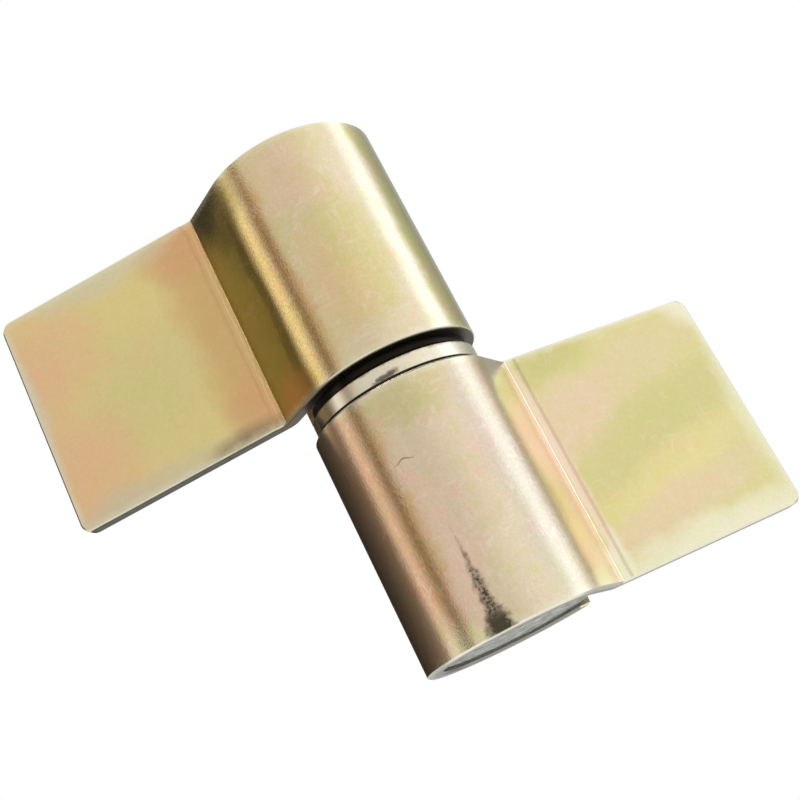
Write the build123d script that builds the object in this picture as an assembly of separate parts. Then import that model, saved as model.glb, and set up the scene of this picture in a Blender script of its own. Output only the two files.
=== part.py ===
"""Weld-on barrel hinge: two alike flag leaves, each one strip rolled round a thick pin.

Millimetres. +Z runs up the pin, the frame leaf reaches towards +X and the smooth
side of the barrels faces -Y. The origin is the middle of the frame leaf's weld face.
"""
from build123d import *
from math import cos, radians, sin
import os

# Strip that each half is pressed from
sheet = 2.0
knuckle_length = 31.5
leaf_reach = 43.0          # pin axis to the leaf's free edge
leaf_set = 3.85            # leaf's outer face, in front of the pin axis
corner_radius = 1.5        # free corners of the leaf
edge_break = 0.25          # sheared edges after tumbling

# Neck between the roll and the leaf
neck_angle = 47.0          # degrees in front of the leaf's side where it leaves the circle
crease_radius = 0.5
land_width = 1.6           # strip beside the crease that the press has pushed in
land_drop = 0.12
land_slope = 0.4           # part of that width that slopes up to the leaf

# Roll round the pin
pin_diameter = 20.0
running_clearance = 0.05   # radial, in the half that turns
seam_angle = 12.0          # degrees behind the leaf's side where the rolled end stops

# Thrust washer between the barrels
flange_height = 2.7
hub_rise = 1.1             # hub above the flange, the dark groove under the upper barrel
flange_inset = 0.8         # flange in from the barrel's skin
hub_land = 0.6             # width of sheet edge that turns on the hub
flange_break = 0.4
washer_clearance = 0.08    # radial, round the pin

# Pin ends
pin_sunk = 0.6             # lower end, inside the roll
pin_short = 2.0            # upper end, below the top of the roll
pin_lead = 1.2             # lead-in on the upper end
pin_edge = 0.4             # break on the lower end

# Pose
fold = 30.0                # degrees the door leaf is folded back from flat

# Worked out from the sizes above
pin_radius = pin_diameter / 2
washer_height = flange_height + hub_rise
BASE = (Align.CENTER, Align.CENTER, Align.MIN)


def on_circle(radius, angle):
    """Point of a circle about the pin axis."""
    return Vector(radius * cos(radians(angle)), radius * sin(radians(angle)))


def on_neck(radius, y):
    """Point at that height of the neck's line, which touches the circle of that radius."""
    return Vector((radius + y * sin(radians(neck_angle))) / cos(radians(neck_angle)), y)


def round_the_pin(radius):
    """Side of the roll, from the seam to the foot of the neck."""
    return CenterArc((0, 0), radius, seam_angle, 360 - neck_angle - seam_angle)


def strip_section(bore):
    """Section of one half. The land is pushed in on the outer side only."""
    barrel = bore + sheet
    land = land_drop - leaf_set
    crease = on_neck(barrel, land)
    outer = FilletPolyline(
        on_circle(barrel, -neck_angle),
        crease,
        (crease.X + land_width - land_slope, land),
        (crease.X + land_width, -leaf_set),
        (leaf_reach, -leaf_set),
        radius=[crease_radius, 0, 0],
    )
    inner = FilletPolyline(
        (leaf_reach, sheet - leaf_set),
        on_neck(bore, sheet - leaf_set),
        on_circle(bore, -neck_angle),
        radius=crease_radius + sheet,
    )
    free_edge = Line(outer @ 1, inner @ 0)
    seam = Line(on_circle(bore, seam_angle), on_circle(barrel, seam_angle))
    sides = outer.edges() + inner.edges() + round_the_pin(bore).edges() + round_the_pin(barrel).edges()
    return make_face(sides + free_edge.edges() + seam.edges())


def rolled_leaf(bore):
    """One half: its section drawn along the pin, free corners rounded, sheared edges broken."""
    half = extrude(strip_section(bore), amount=knuckle_length)
    half = fillet(half.edges().filter_by(Axis.Y), corner_radius)
    free_end = half.faces().sort_by(Axis.X)[-1]
    smooth = half.edges().filter_by(Axis.Z) + half.edges().filter_by(Axis.Y)
    sheared = half.edges() - smooth + free_end.edges().filter_by(Axis.Z)
    return chamfer(sheared, edge_break)


def turned_pin():
    """Pin held in the lower roll and free in the upper one."""
    length = 2 * knuckle_length + washer_height - pin_sunk - pin_short
    pin = Cylinder(pin_radius, length, align=BASE)
    pin = chamfer(pin.edges().sort_by(Axis.Z)[-1], pin_lead)
    return chamfer(pin.edges().sort_by(Axis.Z)[0], pin_edge)


def stepped_washer():
    """Ring whose flange rests on the lower barrel and whose hub carries the upper one."""
    flange = Cylinder(pin_radius + sheet - flange_inset, flange_height, align=BASE)
    flange = chamfer(flange.edges(), flange_break)
    hub = Cylinder(pin_radius + running_clearance + hub_land, washer_height, align=BASE)
    return flange + hub - Cylinder(pin_radius + washer_clearance, washer_height, align=BASE)


def build():
    """All pieces in place, the lower end of the pin's axis set from the middle of the weld face."""
    leaf_root = on_neck(pin_radius + sheet, land_drop - leaf_set).X + land_width
    pin_foot = Location((-(leaf_root + leaf_reach) / 2, leaf_set - sheet, -knuckle_length / 2))
    washer_seat = pin_foot * Location((0, 0, knuckle_length))
    upper_seat = washer_seat * Location((0, 0, washer_height))
    turned_over = Location((0, 0, knuckle_length), (0, 180, 0))
    folded = Location((0, 0, 0), (0, 0, -fold))
    return {
        "frame_leaf": pin_foot * rolled_leaf(pin_radius),
        "hinge_pin": pin_foot * Location((0, 0, pin_sunk)) * turned_pin(),
        "thrust_washer": washer_seat * stepped_washer(),
        "door_leaf": upper_seat * folded * turned_over * rolled_leaf(pin_radius + running_clearance),
    }


os.makedirs("parts", exist_ok=True)
for name, piece in build().items():
    export_step(piece, f"parts/{name}.step")
    box = piece.bounding_box()
    print(name, round(piece.volume, 1), [round(v, 3) for v in (*box.min, *box.max)])
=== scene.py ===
from math import cos, pi, radians, sin

import bmesh
import bpy
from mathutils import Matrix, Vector


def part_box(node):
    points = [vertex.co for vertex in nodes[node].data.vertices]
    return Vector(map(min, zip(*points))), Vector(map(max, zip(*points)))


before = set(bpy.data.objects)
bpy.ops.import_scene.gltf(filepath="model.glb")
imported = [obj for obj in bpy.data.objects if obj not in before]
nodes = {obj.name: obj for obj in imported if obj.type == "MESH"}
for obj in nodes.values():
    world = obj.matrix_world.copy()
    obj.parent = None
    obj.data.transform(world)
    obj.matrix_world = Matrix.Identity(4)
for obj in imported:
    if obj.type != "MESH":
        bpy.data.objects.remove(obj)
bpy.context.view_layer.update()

# The lower half: one strip of 2 mm steel, rolled round the pin and pressed flat into a leaf, then
# zinc plated and dipped yellow. The dip dries to clouds of rose, gold and green. It is thin and
# silvery by the sheared edges, where the chamfers also carry a painted highlight, and soot from the
# shop has run down to the barrel's rim.
millimetre = 0.001
pin_low, pin_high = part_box("hinge_pin")
lower_low, lower_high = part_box("frame_leaf")
pin_x, pin_y = (pin_low.x + pin_high.x) / 2, (pin_low.y + pin_high.y) / 2
leaf_reach = (lower_high.x - pin_x) / millimetre
half_height = (lower_high.z - lower_low.z) / 2 / millimetre


def put(tree, kind, inputs=None, **settings):
    """New shader node, its settings first and then its sockets, each by a link or by a value."""
    node = tree.nodes.new("ShaderNode" + kind)
    for name, value in settings.items():
        setattr(node, name, value)
    for name, value in (inputs or {}).items():
        if isinstance(value, bpy.types.NodeSocket):
            tree.links.new(value, node.inputs[name])
        else:
            node.inputs[name].default_value = value
    return node


def work(tree, operation, *values):
    """Result of a Math node."""
    return put(tree, "Math", dict(enumerate(values)), operation=operation).outputs[0]


def fade(tree, value, start, end):
    """0 at start, 1 at end and smooth between, whichever of the two is larger."""
    return put(tree, "MapRange", {"Value": value, "From Min": start, "From Max": end},
               interpolation_type="SMOOTHSTEP").outputs["Result"]


def squares(tree, one, other):
    """Sum of two squares."""
    return work(tree, "MULTIPLY_ADD", one, one, work(tree, "MULTIPLY", other, other))


def distance(tree, one, other):
    """Length of two offsets at right angles."""
    return work(tree, "SQRT", squares(tree, one, other))


def bearing(tree, axes):
    """Degrees about Z, from X."""
    return work(tree, "DEGREES", work(tree, "ARCTAN2", axes["Y"], axes["X"]))


def tint(tree, mask, below, above, how="MIX"):
    """Colour below, changed to the colour above where the mask is 1."""
    mix = put(tree, "Mix", {0: mask, 6: below, 7: above}, data_type="RGBA", blend_type=how)
    return mix.outputs[2]


def cloud(tree, vector, scale, detail=2.0, roughness=0.5, distortion=0.0):
    """Noise about 0, from -0.5 to 0.5, with scale in clouds a millimetre."""
    noise = put(tree, "TexNoise", {"Vector": vector, "Scale": scale, "Detail": detail,
                                   "Roughness": roughness, "Distortion": distortion})
    return work(tree, "SUBTRACT", noise.outputs["Fac"], 0.5)


def effect(name, takes, gives):
    """Empty node group. Each thing it takes starts as a number, as a colour or, for a vector, None."""
    tree = bpy.data.node_groups.new(name, "ShaderNodeTree")
    for label, start in takes.items():
        kind = "Vector" if start is None else "Color" if isinstance(start, tuple) else "Float"
        socket = tree.interface.new_socket(label, in_out="INPUT", socket_type="NodeSocket" + kind)
        if start is not None:
            socket.default_value = start
    for label, kind in gives.items():
        tree.interface.new_socket(label, in_out="OUTPUT", socket_type="NodeSocket" + kind)
    return tree, tree.nodes.new("NodeGroupInput").outputs, tree.nodes.new("NodeGroupOutput").inputs


def use(tree, name, inputs):
    """Outputs of an effect placed in a material with its own values."""
    return put(tree, "Group", inputs, node_tree=bpy.data.node_groups[name]).outputs


def bare_metal(name):
    """New metal material, with its tree and its shader."""
    material = bpy.data.materials.new(name)
    material.use_nodes = True
    tree = material.node_tree
    shader = tree.nodes["Principled BSDF"]
    shader.inputs["Metallic"].default_value = 1.0
    return material, tree, shader


def own_place(tree, middle, turn=(0.0, 0.0, 0.0)):
    """Place in a piece's own frame, in millimetres, as a vector and as its three axes."""
    place = put(tree, "TexCoord").outputs["Object"]
    own = put(tree, "Mapping", {"Vector": place, "Location": middle, "Rotation": turn,
                                "Scale": (millimetre,) * 3}, vector_type="TEXTURE").outputs[0]
    return own, put(tree, "SeparateXYZ", {"Vector": own}).outputs


def bump(tree, shader, relief, reach):
    """Small relief in the shader's normal. Its reach is in millimetres."""
    raised = put(tree, "Bump", {"Height": relief, "Strength": 1.0, "Distance": reach * millimetre})
    tree.links.new(raised.outputs["Normal"], shader.inputs["Normal"])


def dress(node_name, material):
    """Gives one CAD node its only material."""
    slots = nodes[node_name].data.materials
    slots.clear()
    slots.append(material)


# Colours that the dip dries to, from thin to thick.
pale_wisp = (0.82, 0.76, 0.62, 1.0)
# The pale corner colour also serves as the painted highlight on the chamfers.
pale_corner_highlight = (0.84, 0.81, 0.68, 1.0)
cream = (0.80, 0.76, 0.54, 1.0)
beige = (0.74, 0.63, 0.43, 1.0)
blush = (0.82, 0.62, 0.46, 1.0)
rose = (0.74, 0.55, 0.37, 1.0)
peach = (0.79, 0.55, 0.29, 1.0)
orange = (0.67, 0.44, 0.18, 1.0)
straw = (0.77, 0.63, 0.27, 1.0)
lime = (0.66, 0.58, 0.26, 1.0)
green = (0.57, 0.52, 0.21, 1.0)
olive = (0.50, 0.39, 0.09, 1.0)

# One cloud of another colour, soft at its edge.
tree, taken, given = effect("film_patch", {
    "Color": beige, "Paint": straw, "Strength": 1.0, "Across": 0.0, "Up": 0.0, "Middle Across": 0.0,
    "Middle Up": 0.0, "Half Width": 5.0, "Half Height": 5.0, "Lean": 0.0}, {"Color": "Color"})
off_across = work(tree, "SUBTRACT", taken["Across"], taken["Middle Across"])
off_up = work(tree, "SUBTRACT", work(tree, "SUBTRACT", taken["Up"], taken["Middle Up"]),
              work(tree, "MULTIPLY", off_across, taken["Lean"]))
off_across = work(tree, "DIVIDE", off_across, taken["Half Width"])
off_up = work(tree, "DIVIDE", off_up, taken["Half Height"])
soft_edge = 1.9
mask = fade(tree, squares(tree, off_across, off_up), soft_edge, 0.0)
mask = work(tree, "MULTIPLY", mask, taken["Strength"])
tree.links.new(tint(tree, mask, taken["Color"], taken["Paint"]), given["Color"])

# What the dip leaves all over: a drift to rose and to green, pale wisps and fine specks.
tree, taken, given = effect("dried_film", {
    "Vector": None, "Color": beige, "Wander": 1.0, "Wisps": 1.0, "Speckle": 1.0}, {"Color": "Color"})
broad = cloud(tree, taken["Vector"], 0.22, 2.5, 0.6, 1.5)
mid = cloud(tree, taken["Vector"], 0.8, 1.2, 0.5, 0.8)
fine = cloud(tree, taken["Vector"], 3.0, 3.0, 0.7)
tone = work(tree, "MULTIPLY_ADD", mid, 0.6, broad)
rosy = work(tree, "MULTIPLY", fade(tree, tone, 0.02, 0.24), taken["Wander"])
leafy = work(tree, "MULTIPLY", fade(tree, tone, -0.02, -0.24), taken["Wander"])
towards_rose, towards_green = (1.07, 0.90, 0.96, 1.0), (0.91, 1.00, 0.80, 1.0)
colour = tint(tree, rosy, taken["Color"], towards_rose, "MULTIPLY")
colour = tint(tree, leafy, colour, towards_green, "MULTIPLY")
stretch = 0.35
brushed = put(tree, "Mapping", {"Vector": taken["Vector"], "Rotation": (0.5, 0.9, 0.3),
                                "Scale": (1.0, 1.0, stretch)}).outputs[0]
crossed = put(tree, "Mapping", {"Vector": taken["Vector"], "Rotation": (-0.7, 0.2, 1.1),
                                "Scale": (stretch, 1.0, 1.0)}).outputs[0]
strands = work(tree, "MAXIMUM", cloud(tree, brushed, 1.1, 4.0, 0.7, 0.8),
               cloud(tree, crossed, 0.9, 4.0, 0.7, 0.8))
wisps = work(tree, "MULTIPLY", fade(tree, strands, 0.02, 0.20), fade(tree, broad, -0.16, 0.10))
wisps = work(tree, "MULTIPLY", wisps, taken["Wisps"])
wisp_cover, speckle_depth = 0.40, 0.20
colour = tint(tree, work(tree, "MULTIPLY", wisps, wisp_cover), colour, pale_wisp)
speckle = work(tree, "MULTIPLY", fine, taken["Speckle"])
value = work(tree, "MULTIPLY_ADD", speckle, speckle_depth, 1.0)
shade = put(tree, "HueSaturation", {"Color": colour, "Value": value})
tree.links.new(shade.outputs["Color"], given["Color"])

# A cut face lies at Gap 0. The blade burnished it near the outer skin, at Depth 0, and tore the rest.
tree, taken, given = effect(
    "sheared_rim", {"Vector": None, "Gap": 1.0, "Depth": 1.0, "Edge Run": 0.0},
    {"Cut": "Float", "Corner": "Float", "Worn": "Float", "Torn": "Float"})
worn_reach, burnished_depth = 1.4, 0.75
ragged = work(tree, "MULTIPLY_ADD", cloud(tree, taken["Vector"], 0.7, 3.0, 0.7), 1.6, taken["Gap"])
cut = fade(tree, taken["Gap"], 0.06, 0.02)
tree.links.new(cut, given["Cut"])
tree.links.new(work(tree, "SUBTRACT", fade(tree, taken["Gap"], 0.34, 0.24), cut), given["Corner"])
tree.links.new(fade(tree, ragged, worn_reach, 0.15), given["Worn"])
half_depth = work(tree, "MULTIPLY", taken["Depth"], 0.5)
tooth = put(tree, "CombineXYZ", {"X": half_depth, "Y": taken["Edge Run"]}).outputs[0]
teeth = work(tree, "MULTIPLY_ADD", cloud(tree, tooth, 2.4, 3.0, 0.7), 1.6, 0.62)
break_line = work(tree, "MULTIPLY_ADD", cloud(tree, tooth, 0.6, 2.0, 0.5), 0.8, burnished_depth)
beyond = work(tree, "SUBTRACT", taken["Depth"], break_line)
tree.links.new(work(tree, "MULTIPLY", fade(tree, beyond, -0.10, 0.15), teeth), given["Torn"])

# The satin of the zinc under it: pits, shallow dents and hair scuffs.
tree, taken, given = effect("satin_grain", {"Vector": None}, {"Height": "Float", "Scuffs": "Float"})
pits = cloud(tree, taken["Vector"], 4.5, 2.0, 0.65)
dents = work(tree, "MULTIPLY", cloud(tree, taken["Vector"], 0.45, 2.0, 0.5), 0.3)
rubbed = put(tree, "Mapping", {"Vector": taken["Vector"], "Scale": (1.0, 1.0, 0.14),
                               "Rotation": (0.3, 0.5, 0.0)}).outputs[0]
hairs = fade(tree, cloud(tree, rubbed, 5.0, 3.0, 0.75), 0.16, 0.30)
relief = work(tree, "ADD", pits, dents)
tree.links.new(work(tree, "MULTIPLY_ADD", hairs, -0.10, relief), given["Height"])
tree.links.new(hairs, given["Scuffs"])

# A mark with a ragged edge, for soot, a nick or a gouge.
tree, taken, given = effect("smear", {
    "Vector": None, "Across": 0.0, "Up": 0.0, "Middle Across": 0.0, "Middle Up": 0.0,
    "Half Width": 1.0, "Half Height": 1.0, "Ragged": 0.4, "Soft": 0.5}, {"Mask": "Float"})
off_across = work(tree, "SUBTRACT", taken["Across"], taken["Middle Across"])
off_across = work(tree, "DIVIDE", off_across, taken["Half Width"])
off_up = work(tree, "SUBTRACT", taken["Up"], taken["Middle Up"])
off_up = work(tree, "DIVIDE", off_up, taken["Half Height"])
away = distance(tree, off_across, off_up)
frayed = work(tree, "MULTIPLY_ADD", cloud(tree, taken["Vector"], 0.9, 4.0, 0.7), taken["Ragged"], away)
inner = work(tree, "SUBTRACT", 1.0, taken["Soft"])
tree.links.new(fade(tree, frayed, 1.0, inner), given["Mask"])

# The strip's section, in millimetres and degrees from the pin's axis.
roll_reach, bore_reach = 12.0, 10.0
leaf_set, leaf_middle = 3.85, -2.85
seam_angle, arc_of_degree = 12.0, 0.2
crease_along, land_along = 13.6, 15.0
neck_angle = 47.0
neck_foot = roll_reach * cos(radians(neck_angle))
neck_run = neck_foot + roll_reach * radians(neck_angle)


def strip_material(name, middle, turn, films, roll_patches, leaf_patches, cuts, crease_shine, step_shade,
                   bend_sparkle, neck_haze):
    """Plated strip of one half. Returns the parts of its shader that the marks on it change.

    A patch is its colour, strength, middle along the unrolled strip and up, half width, half
    height and lean, in millimetres.
    """
    material, tree, shader = bare_metal(name)
    own, axes = own_place(tree, middle, turn)
    along, up = axes["X"], axes["Z"]
    turned = bearing(tree, axes)
    full_turn, before_seam, far_off = 360.0, 5.0, 99.0
    behind = work(tree, "GREATER_THAN", turned, before_seam)
    around = work(tree, "MULTIPLY_ADD", behind, -full_turn, turned)
    rolled_run = work(tree, "MULTIPLY_ADD", around, roll_reach * radians(1.0), neck_run)
    on_leaf = fade(tree, along, crease_along - 0.2, crease_along)
    run = put(tree, "Mix", {0: on_leaf, 2: rolled_run, 3: along}).outputs[0]
    on_neck = fade(tree, run, neck_foot - 2.6, neck_foot + 0.4)

    # The clouds wander off their patches, least on the bend and on the leaf.
    drift = put(tree, "TexNoise", {"Vector": own, "Scale": 0.13, "Detail": 4.0, "Roughness": 0.62})
    drift = put(tree, "SeparateColor", {"Color": drift.outputs["Color"]}).outputs
    on_bend = work(tree, "MULTIPLY", fade(tree, run, 2.8, 4.2), fade(tree, run, 8.6, 7.0))
    near_bend = work(tree, "MULTIPLY", fade(tree, run, 1.0, 4.0), fade(tree, run, 11.0, 8.0))
    widest, less_on_leaf, less_by_bend = 7.0, 2.5, 5.0
    wander = work(tree, "MULTIPLY_ADD", on_leaf, -less_on_leaf, widest)
    wander = work(tree, "MULTIPLY_ADD", near_bend, -less_by_bend, wander)
    across = work(tree, "MULTIPLY_ADD", work(tree, "SUBTRACT", drift["Red"], 0.5), wander, run)
    inner_side = work(tree, "MULTIPLY", on_leaf, work(tree, "GREATER_THAN", axes["Y"], leaf_middle))
    turned_up = work(tree, "MULTIPLY", up, work(tree, "MULTIPLY_ADD", inner_side, -2.0, 1.0))
    height = work(tree, "MULTIPLY_ADD", work(tree, "SUBTRACT", drift["Green"], 0.5), wander, turned_up)
    roll_film, neck_film, leaf_film = films
    roll_colour = tint(tree, on_neck, roll_film, neck_film)
    painted = []
    for colour, patches in ((roll_colour, roll_patches), (leaf_film, leaf_patches)):
        for paint, strength, middle_across, middle_up, reach_across, reach_up, lean in patches:
            colour = use(tree, "film_patch", {
                "Color": colour, "Paint": paint, "Strength": strength, "Across": across, "Up": height,
                "Middle Across": middle_across, "Middle Up": middle_up, "Half Width": reach_across,
                "Half Height": reach_up, "Lean": lean})["Color"]
        painted.append(colour)
    colour = tint(tree, on_leaf, *painted)
    unrest = work(tree, "MULTIPLY_ADD", on_leaf, -0.45, 0.95)
    sparkle = work(tree, "MULTIPLY_ADD", on_bend, bend_sparkle, work(tree, "MULTIPLY", unrest, 1.3))
    mottle = work(tree, "MULTIPLY", unrest, 0.75)
    haze = work(tree, "MULTIPLY", unrest, work(tree, "MULTIPLY_ADD", on_neck, neck_haze - 1.0, 1.0))
    colour = use(tree, "dried_film", {"Vector": own, "Color": colour, "Wander": mottle, "Wisps": haze,
                                      "Speckle": sparkle})["Color"]

    # The gap to the nearest cut face: the two ends, the leaf's free edge or the seam.
    from_axis = distance(tree, along, axes["Y"])
    end_gap = work(tree, "SUBTRACT", half_height, work(tree, "ABSOLUTE", up))
    free_gap = work(tree, "SUBTRACT", leaf_reach, along)
    off_seam = work(tree, "ABSOLUTE", work(tree, "SUBTRACT", turned, seam_angle))
    seam_gap = work(tree, "MULTIPLY", off_seam, arc_of_degree)
    in_front = work(tree, "SUBTRACT", 1.0, behind)
    seam_gap = work(tree, "MULTIPLY_ADD", in_front, far_off, seam_gap)
    gap = work(tree, "MINIMUM", work(tree, "MINIMUM", end_gap, free_gap), seam_gap)
    # The depth under the outer skin of the roll, of the neck or of the leaf.
    on_straight = work(tree, "MULTIPLY_ADD", along, cos(radians(neck_angle)),
                       work(tree, "MULTIPLY", axes["Y"], -sin(radians(neck_angle))))
    past_foot = work(tree, "MULTIPLY", work(tree, "GREATER_THAN", along, neck_foot),
                     work(tree, "LESS_THAN", axes["Y"], 0.0))
    from_skin = put(tree, "Mix", {0: past_foot, 2: from_axis, 3: on_straight}).outputs[0]
    depth = work(tree, "SUBTRACT", roll_reach, from_skin)
    leaf_depth = work(tree, "ADD", axes["Y"], leaf_set)
    depth = put(tree, "Mix", {0: on_leaf, 2: depth, 3: leaf_depth}).outputs[0]
    free_end = work(tree, "LESS_THAN", free_gap, 0.3)
    edge_run = put(tree, "Mix", {0: free_end, 2: run, 3: up}).outputs[0]
    rim = use(tree, "sheared_rim", {"Vector": own, "Gap": gap, "Depth": depth, "Edge Run": edge_run})
    grain = use(tree, "satin_grain", {"Vector": own})
    colour = tint(tree, work(tree, "MULTIPLY", rim["Worn"], 0.45), colour, cream)
    scuffed = (0.84, 0.80, 0.68, 1.0)
    colour = tint(tree, work(tree, "MULTIPLY", grain["Scuffs"], 0.30), colour, scuffed)
    breaks = fade(tree, cloud(tree, own, 0.35, 4.0, 0.75), -0.20, 0.16)
    wavy_along = work(tree, "MULTIPLY_ADD", cloud(tree, own, 0.5, 2.0, 0.5), 0.35, along)
    # Two thin lines along the crease are painted highlights, the first strong and the second faint.
    for ridge, shine in ((crease_along + 0.06, 0.90), (crease_along + 0.60, 0.30)):
        off_ridge = work(tree, "ABSOLUTE", work(tree, "SUBTRACT", wavy_along, ridge))
        crease_highlight = work(tree, "MULTIPLY", fade(tree, off_ridge, 0.13, 0.03), breaks)
        colour = tint(tree, work(tree, "MULTIPLY", crease_highlight, shine), colour, crease_shine)
    # A soft brown line where the land slopes down is painted shade of the pressed step.
    off_slope = work(tree, "ABSOLUTE", work(tree, "SUBTRACT", wavy_along, land_along))
    step_shaded = work(tree, "MULTIPLY", fade(tree, off_slope, 0.38, 0.08), step_shade)
    step_shade_brown = (0.44, 0.26, 0.13, 1.0)
    colour = tint(tree, step_shaded, colour, step_shade_brown)
    # The chamfers by the cut faces turn pale, partly as worn plating and partly as a painted highlight,
    # broken up by noise.
    corner_highlight = work(tree, "MULTIPLY", rim["Corner"], work(tree, "MULTIPLY_ADD", breaks, 0.6, 0.4))
    colour = tint(tree, corner_highlight, colour, pale_corner_highlight)
    roll_cut, leaf_cut, torn_cut = cuts
    cut_colour = tint(tree, fade(tree, along, 6.0, 11.0), roll_cut, leaf_cut)
    cut_colour = tint(tree, rim["Torn"], cut_colour, torn_cut)
    colour = tint(tree, rim["Cut"], colour, cut_colour)
    # The bore is painted as shade: grey at its mouth and near black deeper in.
    in_bore = fade(tree, from_axis, bore_reach + 0.4, bore_reach + 0.2)
    bore_mouth, bore_shade = (0.30, 0.29, 0.26, 1.0), (0.09, 0.075, 0.05, 1.0)
    bore_shade_colour = tint(tree, fade(tree, end_gap, 0.5, 1.2), bore_mouth, bore_shade)
    colour = tint(tree, in_bore, colour, bore_shade_colour)
    satin, unevenness, cut_roughness = 0.145, 0.10, 0.22
    rough = work(tree, "MULTIPLY_ADD", cloud(tree, own, 0.5, 3.0, 0.6), unevenness, satin)
    rough = work(tree, "MULTIPLY_ADD", rim["Cut"], cut_roughness, rough)
    bump(tree, shader, grain["Height"], 0.02)
    return material, tree, shader, own, along, up, turned, colour, rough


def surface(tree, shader, colour, rough):
    """Links a colour and a roughness to their shader."""
    tree.links.new(colour, shader.inputs["Base Color"])
    tree.links.new(rough, shader.inputs["Roughness"])


lower_roll_patches = (
    (green, 0.60, -5.5, 13.5, 6.5, 3.5, 0.0),
    ((0.78, 0.57, 0.42, 1.0), 0.90, -8.6, -5.0, 2.4, 10.0, 0.0),
    (beige, 0.75, 0.0, -10.0, 6.0, 6.5, 0.0),
    ((0.64, 0.54, 0.40, 1.0), 0.8, 2.5, 0.0, 2.8, 18.0, 0.0),
    ((0.74, 0.48, 0.30, 1.0), 0.80, -14.0, 2.0, 4.0, 16.0, 0.0),
    (orange, 0.60, -11.6, 0.0, 1.2, 17.0, 0.0),
    # The next two pale patches at the lower left end are painted glints, cream and yellow-green.
    (cream, 0.60, -13.5, -15.0, 2.2, 3.2, 0.0),
    ((0.80, 0.76, 0.38, 1.0), 0.70, -10.4, -16.0, 1.6, 3.0, 0.0),
    # This dark line along the neck's foot is painted shade of the bend.
    ((0.52, 0.40, 0.20, 1.0), 0.65, 7.2, 0.0, 1.7, 18.0, 0.0),
    (cream, 0.80, 10.0, 11.5, 3.2, 3.8, 0.3),
    (blush, 0.90, 11.5, 3.0, 3.6, 10.0, 0.0),
    (blush, 0.90, 10.8, -10.0, 3.4, 5.0, 0.0),
    (cream, 0.60, 9.0, -15.5, 3.5, 2.5, 0.4),
)
lower_leaf_patches = (
    (green, 0.95, 17.5, 14.5, 8.0, 3.5, 0.1),
    (rose, 0.80, 18.5, 5.0, 7.0, 5.0, 0.25),
    (rose, 0.45, 29.0, 9.0, 11.0, 3.6, 0.25),
    (green, 0.62, 31.0, 1.0, 18.0, 5.0, 0.26),
    (straw, 0.50, 28.0, -5.0, 13.0, 2.8, 0.22),
    (rose, 0.65, 26.0, -10.0, 14.0, 3.0, 0.18),
    (cream, 0.80, 30.0, -16.0, 17.0, 3.4, 0.0),
    (cream, 0.50, 44.0, 0.0, 3.2, 18.0, 0.0),
    (cream, 0.80, 43.0, 15.5, 4.0, 4.0, 0.0),
    (blush, 0.85, 14.3, 0.0, 1.0, 16.0, 0.0),
    (cream, 0.80, 14.6, -14.5, 1.4, 4.5, 0.0),
)
lower_zinc, tree, shader, own, along, up, turned, colour, rough = strip_material(
    "lower_yellow_zinc", middle=(pin_x, pin_y, 0.0), turn=(0.0, 0.0, 0.0),
    films=((0.72, 0.575, 0.40, 1.0), (0.77, 0.59, 0.42, 1.0), lime),
    roll_patches=lower_roll_patches, leaf_patches=lower_leaf_patches,
    cuts=((0.68, 0.66, 0.58, 1.0), (0.68, 0.65, 0.54, 1.0), (0.30, 0.285, 0.24, 1.0)),
    crease_shine=(0.90, 0.84, 0.62, 1.0), step_shade=0.18, bend_sparkle=0.5, neck_haze=0.9)
# The soot starts as a hair half way up and spreads to the rim. Its widths are in degrees.
spread = work(tree, "MULTIPLY_ADD", fade(tree, up, -3.0, -12.0), 4.2, 1.3)
spread = work(tree, "MULTIPLY_ADD", fade(tree, up, -12.0, -15.6), 6.0, spread)
wavering = work(tree, "MULTIPLY_ADD", cloud(tree, own, 0.6, 2.0, 0.6), 5.0, turned)
soot = use(tree, "smear", {
    "Vector": own, "Across": wavering, "Up": up, "Middle Across": -121.8, "Middle Up": -17.0,
    "Half Width": spread, "Half Height": 17.0, "Ragged": 1.1, "Soft": 0.60})["Mask"]
specks = fade(tree, cloud(tree, own, 3.0, 3.0, 0.7), -0.14, 0.08)
dense = work(tree, "MULTIPLY_ADD", fade(tree, up, -3.0, -9.5), 0.45, 0.5)
soaked = fade(tree, up, -11.0, -14.5)
filled = work(tree, "MAXIMUM", work(tree, "MULTIPLY_ADD", specks, 0.5, 0.5), soaked)
soot = work(tree, "MULTIPLY", soot, work(tree, "MULTIPLY", dense, filled))
above_rim = fade(tree, up, -half_height + 0.10, -half_height + 0.26)
soot = work(tree, "MULTIPLY", soot, above_rim)
wave = work(tree, "SINE", work(tree, "MULTIPLY", turned, 0.55))
wavy_up = work(tree, "MULTIPLY_ADD", wave, 0.20, up)
nick = use(tree, "smear", {
    "Vector": own, "Across": turned, "Up": wavy_up, "Middle Across": -128.0, "Middle Up": 6.5,
    "Half Width": 8.0, "Half Height": 0.18, "Ragged": 1.0, "Soft": 0.8})["Mask"]
soot_black, nick_brown = (0.022, 0.022, 0.012, 1.0), (0.13, 0.11, 0.07, 1.0)
colour = tint(tree, work(tree, "MULTIPLY", soot, 0.97), colour, soot_black)
colour = tint(tree, work(tree, "MULTIPLY", nick, 0.60), colour, nick_brown)
rough = work(tree, "MULTIPLY_ADD", soot, 0.25, rough)
surface(tree, shader, colour, rough)
dress("frame_leaf", lower_zinc)
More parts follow.
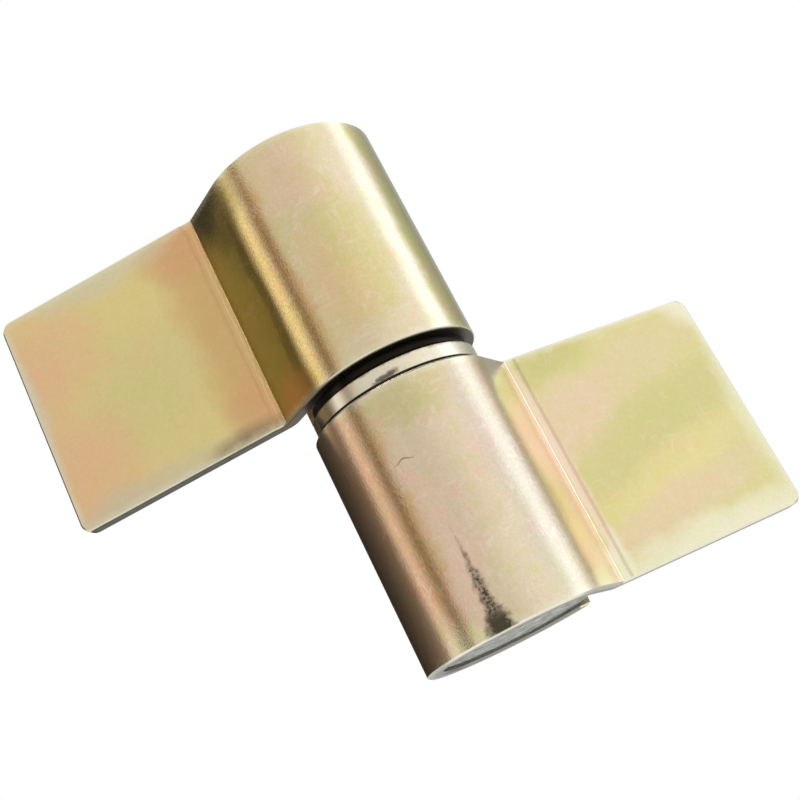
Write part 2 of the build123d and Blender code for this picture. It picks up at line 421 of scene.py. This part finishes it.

# The pin: a length of 20 mm bright drawn bar, pressed into the lower roll. Its ends are sawn, and
# all of it is bare steel. The lower end, the one in view, is painted paler, as lit, and the upper end
# darker, as shaded.
pin_material, tree, shader = bare_metal("drawn_steel_pin")
own, axes = own_place(tree, (pin_x, pin_y, pin_low.z))
pin_length = (pin_high.z - pin_low.z) / millimetre
low_end = fade(tree, axes["Z"], 0.5, 0.3)
high_end = fade(tree, axes["Z"], pin_length - 1.3, pin_length - 1.1)
sawn = work(tree, "MAXIMUM", low_end, high_end)
saw_way = put(tree, "Mapping", {"Vector": own, "Rotation": (0.0, 0.0, 0.5),
                                "Scale": (0.12, 2.4, 1.0)}).outputs[0]
saw_lines = cloud(tree, saw_way, 1.0, 3.0, 0.7)
blotch = cloud(tree, own, 0.55, 4.0, 0.7)
drawn_way = put(tree, "Mapping", {"Vector": own, "Scale": (2.0, 2.0, 0.08)}).outputs[0]
drawn_lines = cloud(tree, drawn_way, 1.0, 3.0, 0.6)
side_tone = fade(tree, work(tree, "ADD", drawn_lines, blotch), -0.3, 0.4)
side = tint(tree, side_tone, (0.25, 0.235, 0.205, 1.0), (0.46, 0.44, 0.40, 1.0))
# The lower end is painted as lit and pale; the upper end, inside the upper roll, as shaded and dark.
end_dark = tint(tree, low_end, (0.40, 0.40, 0.37, 1.0), (0.22, 0.225, 0.20, 1.0))
end_pale = tint(tree, low_end, (0.70, 0.71, 0.65, 1.0), (0.90, 0.91, 0.85, 1.0))
end_tone = fade(tree, work(tree, "MULTIPLY_ADD", saw_lines, 0.7, blotch), -0.22, 0.22)
end = tint(tree, end_tone, end_dark, end_pale)
drawn_roughness, rougher_where_sawn = 0.34, 0.10
surface(tree, shader, tint(tree, sawn, side, end),
        work(tree, "MULTIPLY_ADD", sawn, rougher_where_sawn, drawn_roughness))
relief = work(tree, "ADD", work(tree, "MULTIPLY", saw_lines, sawn),
              work(tree, "MULTIPLY", drawn_lines, 0.4))
bump(tree, shader, relief, 0.15)
dress("hinge_pin", pin_material)

# The thrust ring: turned from steel with a step, so that the upper roll's end turns on its hub, and
# plated like the leaves but paler. The tool's fine lines run round it, and its front has a gouge.
washer_low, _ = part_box("thrust_washer")
washer_material, tree, shader = bare_metal("pale_zinc_ring")
own, axes = own_place(tree, (pin_x, pin_y, washer_low.z))
turned = bearing(tree, axes)
out_from_axis = distance(tree, axes["X"], axes["Y"])
slow_turn = work(tree, "MULTIPLY", turned, 0.01)
turning = put(tree, "CombineXYZ", {"X": out_from_axis, "Y": slow_turn, "Z": axes["Z"]}).outputs[0]
tool_lines = cloud(tree, turning, 5.0, 3.0, 0.6)
ring_film, ring_pale = (0.76, 0.68, 0.50, 1.0), (0.80, 0.76, 0.62, 1.0)
colour = use(tree, "dried_film", {"Vector": own, "Color": ring_film, "Wander": 0.8})["Color"]
colour = tint(tree, work(tree, "MULTIPLY_ADD", tool_lines, 0.5, 0.2), colour, ring_pale)
ragged_up = work(tree, "MULTIPLY_ADD", cloud(tree, own, 0.5, 3.0, 0.7), 1.2, axes["Z"])
top_break = work(tree, "MULTIPLY", fade(tree, ragged_up, 2.0, 2.5), 0.80)
colour = tint(tree, top_break, colour, (0.20, 0.15, 0.09, 1.0))
browned = work(tree, "MULTIPLY", fade(tree, turned, -152.0, -166.0), 0.8)
colour = tint(tree, browned, colour, (0.26, 0.20, 0.12, 1.0))
# A small pale spot on the ring's front is a painted glint.
off_glint = work(tree, "ABSOLUTE", work(tree, "ADD", turned, 150.0))
painted_glint = work(tree, "MULTIPLY", fade(tree, off_glint, 7.0, 1.0), 0.8)
colour = tint(tree, painted_glint, colour, (0.93, 0.88, 0.76, 1.0))
# Painted shade of the gaps, near black, lies on the hub, on the step above the flange and in the line
# under it.
hub_edge, flange_top, foot_line = 10.85, 2.70, 0.52
hub = fade(tree, out_from_axis, hub_edge + 0.10, hub_edge - 0.10)
above_flange = fade(tree, axes["Z"], flange_top - 0.02, flange_top + 0.02)
under_flange = fade(tree, axes["Z"], foot_line + 0.06, foot_line - 0.06)
ring_gap_shade = work(tree, "MAXIMUM", work(tree, "MAXIMUM", hub, above_flange), under_flange)
colour = tint(tree, work(tree, "MULTIPLY", ring_gap_shade, 0.98), colour, (0.010, 0.008, 0.006, 1.0))
gouge_middle, gouge_slope = -116.0, -0.025
past_gouge = work(tree, "SUBTRACT", turned, gouge_middle)
gouge_up = work(tree, "MULTIPLY_ADD", past_gouge, gouge_slope, axes["Z"])
gouge = use(tree, "smear", {
    "Vector": own, "Across": turned, "Up": gouge_up, "Middle Across": gouge_middle, "Middle Up": 0.8,
    "Half Width": 12.0, "Half Height": 0.55, "Ragged": 1.8, "Soft": 0.75})["Mask"]
colour = tint(tree, work(tree, "MULTIPLY", gouge, 0.85), colour, (0.05, 0.04, 0.03, 1.0))
surface(tree, shader, colour, work(tree, "MULTIPLY_ADD", tool_lines, 0.12, 0.25))
bump(tree, shader, work(tree, "MULTIPLY_ADD", gouge, -1.0, tool_lines), 0.02)
dress("thrust_washer", washer_material)

# The upper half: the same pressing turned over, standing on the ring and folded back 30 degrees. Its
# leaf dried to gold in the middle and rose round it, and its end in the gap is painted dark as shade.
upper_low, upper_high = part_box("door_leaf")
upper_middle = (pin_x, pin_y, (upper_low.z + upper_high.z) / 2)
folded_back = radians(-30.0)
upper_roll_patches = (
    # The first patch, pale cream, is a painted highlight that widens the bright stripe on the roll.
    ((0.88, 0.84, 0.62, 1.0), 0.80, -11.8, 0.0, 1.8, 18.0, 0.0),
    ((0.60, 0.55, 0.24, 1.0), 0.90, -15.2, 0.0, 2.6, 18.0, 0.0),
    (beige, 0.85, -10.5, 0.0, 3.0, 17.0, 0.0),
    (lime, 0.70, -6.0, 3.0, 3.5, 8.0, 0.0),
    (peach, 0.50, -2.0, 7.0, 3.0, 8.0, 0.0),
    (rose, 0.90, -1.5, -10.0, 4.5, 5.5, 0.0),
    (beige, 0.70, -5.0, 14.5, 7.0, 2.8, 0.0),
    (beige, 0.60, -9.0, -12.0, 4.0, 5.0, 0.0),
    ((0.72, 0.45, 0.20, 1.0), 0.80, 3.6, 0.0, 1.0, 18.0, 0.0),
    ((0.90, 0.70, 0.28, 1.0), 0.90, 6.0, 3.0, 1.4, 18.0, 0.0),
    # The next three dark patches are painted shade: a line along the neck's foot and a dark zone at the
    # neck's far end.
    ((0.30, 0.21, 0.06, 1.0), 0.70, 8.4, 2.0, 0.9, 18.0, 0.0),
    ((0.34, 0.25, 0.08, 1.0), 0.90, 10.0, -14.0, 4.5, 6.0, 0.0),
    ((0.12, 0.09, 0.04, 1.0), 0.95, 11.5, -17.0, 5.0, 5.0, 0.5),
    ((0.72, 0.36, 0.11, 1.0), 0.85, 11.0, 15.0, 4.5, 3.5, 0.0),
)
warm_peach, rust = (0.82, 0.51, 0.29, 1.0), (0.70, 0.38, 0.19, 1.0)
upper_leaf_patches = (
    (orange, 0.95, 15.0, 0.0, 5.5, 18.0, 0.0),
    (lime, 0.40, 28.0, 2.0, 8.0, 8.0, 0.0),
    (warm_peach, 0.75, 38.5, 9.0, 7.0, 8.0, 0.0),
    (warm_peach, 0.65, 38.0, -8.0, 7.0, 6.5, 0.0),
    (warm_peach, 0.50, 41.0, 0.0, 3.5, 15.0, 0.0),
    (rust, 0.75, 16.0, -13.5, 6.0, 5.5, 0.0),
    (rust, 0.55, 15.5, 12.0, 4.0, 4.5, 0.0),
    ((0.68, 0.62, 0.45, 1.0), 0.75, 28.0, -17.0, 11.0, 4.0, 0.0),
    ((0.70, 0.64, 0.49, 1.0), 0.75, 44.4, 0.0, 2.6, 18.0, 0.0),
    ((0.62, 0.56, 0.40, 1.0), 0.80, 32.0, 17.6, 16.0, 4.6, 0.0),
    # The last patch is painted shade along the leaf's end by the gap, next to the bend.
    ((0.26, 0.18, 0.09, 1.0), 0.85, 17.5, 17.0, 8.0, 3.2, 0.0),
)
upper_zinc, tree, shader, own, along, up, turned, colour, rough = strip_material(
    "upper_yellow_zinc", middle=upper_middle, turn=(0.0, pi, folded_back),
    films=((0.70, 0.575, 0.32, 1.0), olive, straw),
    roll_patches=upper_roll_patches, leaf_patches=upper_leaf_patches,
    cuts=((0.66, 0.62, 0.48, 1.0), (0.66, 0.62, 0.46, 1.0), (0.30, 0.27, 0.20, 1.0)),
    crease_shine=(0.95, 0.82, 0.42, 1.0), step_shade=0.40, bend_sparkle=3.0, neck_haze=0.3)
# The end face in the gap is painted near black as the gap's shade, a little uneven.
gap_shade_strength = work(tree, "MULTIPLY_ADD", cloud(tree, own, 0.6, 3.0, 0.7), 0.2, 0.93)
gap_shaded_end = work(tree, "MULTIPLY", fade(tree, up, half_height - 0.2, half_height - 0.05), gap_shade_strength)
colour = tint(tree, gap_shaded_end, colour, (0.045, 0.037, 0.025, 1.0))
# A dark line along the neck's end by the gap is painted shade.
neck_rim_shade = work(tree, "MULTIPLY", fade(tree, along, 4.0, 8.0), fade(tree, along, 14.4, 13.6))
neck_rim_shade = work(tree, "MULTIPLY", neck_rim_shade, fade(tree, up, half_height - 0.32, half_height - 0.26))
colour = tint(tree, work(tree, "MULTIPLY", neck_rim_shade, 0.85), colour, (0.11, 0.085, 0.05, 1.0))
surface(tree, shader, colour, rough)
dress("door_leaf", upper_zinc)

# The camera: the photographer stood in front of the smooth side, a little below and to the left, and
# tilted the camera by about 27 degrees. Place, turn and lens come from the fit to the photo.
camera_data = bpy.data.cameras.new("photo_camera")
camera_data.lens = 54.369
camera_data.sensor_width = 36.0
camera_data.clip_start, camera_data.clip_end = 0.005, 10.0
camera = bpy.data.objects.new("photo_camera", camera_data)
camera.location = (-0.090455, -0.129334, -0.027285)
camera.rotation_euler = (radians(108.788), radians(25.8306), radians(-16.6350))
bpy.context.scene.collection.objects.link(camera)
bpy.context.scene.camera = camera

# The studio: a pale floor that fades into the white round it, which edges that touch it don't mirror,
# and a tent of cloth round it all that only the metal's reflections show. The tent is bright in front,
# brightest on the right, and dark behind on the left, as the room in the photo was.
floor_reach, fade_start, fade_end, contact_reach = 0.30, 0.10, 0.27, 0.0025
floor_middle = (pin_x, pin_y, lower_low.z)
just_under = 0.00001
floor_mesh = bmesh.new()
bmesh.ops.create_circle(floor_mesh, cap_ends=True, segments=96, radius=floor_reach)
bmesh.ops.translate(floor_mesh, vec=(pin_x, pin_y, lower_low.z - just_under), verts=floor_mesh.verts[:])
floor_data = bpy.data.meshes.new("floor")
floor_mesh.to_mesh(floor_data)
floor_mesh.free()
floor = bpy.data.objects.new("floor", floor_data)
bpy.context.scene.collection.objects.link(floor)

floor_material = bpy.data.materials.new("pale_floor")
floor_material.use_nodes = True
tree = floor_material.node_tree
shader = tree.nodes["Principled BSDF"]
shader.inputs["Base Color"].default_value = (0.86, 0.86, 0.85, 1.0)
shader.inputs["Roughness"].default_value = 0.9
shader.inputs["Specular IOR Level"].default_value = 0.1
place = put(tree, "TexCoord").outputs["Object"]
off_middle = put(tree, "VectorMath", {0: place, 1: floor_middle}, operation="DISTANCE").outputs["Value"]
open_air = put(tree, "BsdfTransparent").outputs[0]
outwards = fade(tree, off_middle, fade_start, fade_end)
faded = put(tree, "MixShader", {0: outwards, 1: shader.outputs[0], 2: open_air}).outputs[0]
from_below = put(tree, "NewGeometry").outputs["Backfacing"]
path = put(tree, "LightPath").outputs
contact = work(tree, "MULTIPLY", path["Is Glossy Ray"],
               work(tree, "LESS_THAN", path["Ray Length"], contact_reach))
unseen = work(tree, "MAXIMUM", from_below, contact)
one_sided = put(tree, "MixShader", {0: unseen, 1: faded, 2: open_air}).outputs[0]
tree.links.new(one_sided, tree.nodes["Material Output"].inputs["Surface"])
floor_data.materials.append(floor_material)

tent_reach, tent_foot, tent_top = 0.50, -0.45, 0.46
tent_mesh = bmesh.new()
bmesh.ops.create_circle(tent_mesh, cap_ends=False, segments=96, radius=tent_reach)
raised = bmesh.ops.extrude_edge_only(tent_mesh, edges=tent_mesh.edges[:])["geom"]
raised = [v for v in raised if isinstance(v, bmesh.types.BMVert)]
bmesh.ops.translate(tent_mesh, vec=(0.0, 0.0, tent_top - tent_foot), verts=raised)
bmesh.ops.translate(tent_mesh, vec=(pin_x, pin_y, tent_foot), verts=tent_mesh.verts[:])
tent_data = bpy.data.meshes.new("tent")
tent_mesh.to_mesh(tent_data)
tent_mesh.free()
tent = bpy.data.objects.new("tent", tent_data)
bpy.context.scene.collection.objects.link(tent)
tent.visible_camera = tent.visible_diffuse = tent.visible_shadow = tent.visible_transmission = False

# What the tent shows at each bearing, in degrees about the pin's axis from the frame leaf's side.
room_light = (
    (-180.0, (0.66, 0.61, 0.55)),
    (-174.5, (0.36, 0.31, 0.26)),
    (-172.0, (0.20, 0.16, 0.12)),
    (-169.5, (0.20, 0.16, 0.12)),
    (-166.0, (0.56, 0.54, 0.51)),
    (-162.0, (0.72, 0.70, 0.67)),
    (-150.0, (0.82, 0.82, 0.82)),
    (-115.0, (0.84, 0.84, 0.84)),
    (-90.0, (0.98, 0.98, 0.99)),
    (-60.0, (1.10, 1.12, 1.16)),
    (-40.0, (1.16, 1.22, 1.34)),
    (-32.0, (1.45, 1.60, 1.85)),
    (-18.0, (1.55, 1.72, 1.98)),
    (-10.0, (1.15, 1.22, 1.35)),
    (-1.0, (0.78, 0.80, 0.80)),
    (12.0, (0.58, 0.59, 0.56)),
    (28.0, (0.42, 0.44, 0.41)),
    (45.0, (0.52, 0.54, 0.54)),
    (62.0, (0.34, 0.33, 0.31)),
    (78.0, (0.075, 0.065, 0.055)),
    (110.0, (0.06, 0.05, 0.04)),
    (133.0, (0.12, 0.10, 0.085)),
    (146.0, (0.20, 0.175, 0.15)),
    (157.0, (0.34, 0.31, 0.28)),
    (164.0, (0.95, 0.90, 0.84)),
    (170.0, (0.98, 0.92, 0.85)),
)
tent_material = bpy.data.materials.new("tent_cloth")
tent_material.use_nodes = True
tree = tent_material.node_tree
tree.nodes.remove(tree.nodes["Principled BSDF"])
place = put(tree, "TexCoord").outputs["Object"]
about_pin = put(tree, "VectorMath", {0: place, 1: (pin_x, pin_y, 0.0)}, operation="SUBTRACT").outputs[0]
axes = put(tree, "SeparateXYZ", {"Vector": about_pin}).outputs
whole_turn, brightest = 360.0, 2.0
turned = work(tree, "ADD", bearing(tree, axes), whole_turn / 2)
round_it = put(tree, "ValToRGB", {"Fac": work(tree, "DIVIDE", turned, whole_turn)})
bar = round_it.color_ramp
bar.interpolation = "CARDINAL"
closing_stop = (whole_turn / 2, room_light[0][1])
stops = (*room_light, closing_stop)
while len(bar.elements) < len(stops):
    bar.elements.new(1.0)
for element, (angle, light) in zip(bar.elements, stops):
    element.position = (angle + whole_turn / 2) / whole_turn
    element.color = (*(channel / brightest for channel in light), 1.0)
above, below = (1.0 / brightest,) * 3 + (1.0,), (0.60 / brightest,) * 3 + (1.0,)
lit = tint(tree, fade(tree, axes["Z"], 0.30, 0.44), round_it.outputs["Color"], above)
lit = tint(tree, fade(tree, axes["Z"], -0.02, -0.05), lit, below)
glow = put(tree, "Emission", {"Color": lit, "Strength": brightest})
tree.links.new(glow.outputs[0], tree.nodes["Material Output"].inputs["Surface"])
tent_data.materials.append(tent_material)


hinge_middle = (pin_x, pin_y, 0.01)
white_light = (1.0, 1.0, 1.0)


def soft_lamp(name, place, size, watts):
    """Square white softbox that faces the hinge."""
    lamp_data = bpy.data.lights.new(name, "AREA")
    lamp_data.shape = "SQUARE"
    lamp_data.size = size
    lamp_data.energy = watts
    lamp_data.color = white_light
    lamp = bpy.data.objects.new(name, lamp_data)
    lamp.location = place
    aim = Vector(hinge_middle) - lamp.location
    lamp.rotation_euler = aim.to_track_quat("-Z", "Y").to_euler()
    bpy.context.scene.collection.objects.link(lamp)


soft_lamp("overhead_softbox", (-0.15, -0.25, 0.75), size=0.5, watts=1.6)
soft_lamp("front_softbox", (0.35, -0.50, 0.60), size=0.3, watts=0.5)

world = bpy.data.worlds.new("white_room")
bpy.context.scene.world = world
world.use_nodes = True
tree = world.node_tree
tree.nodes.clear()
rays = put(tree, "LightPath").outputs
mirrored = work(tree, "MAXIMUM", rays["Is Glossy Ray"], rays["Is Transmission Ray"])
shown = work(tree, "MAXIMUM", rays["Is Camera Ray"], mirrored)
white = put(tree, "Background", {"Color": (*white_light, 1.0), "Strength": 1.0}).outputs[0]
fill = put(tree, "Background", {"Color": (*white_light, 1.0), "Strength": 0.80}).outputs[0]
both = put(tree, "MixShader", {0: shown, 1: fill, 2: white}).outputs[0]
tree.links.new(both, put(tree, "OutputWorld").inputs["Surface"])

bpy.context.scene.view_settings.view_transform = "Standard"
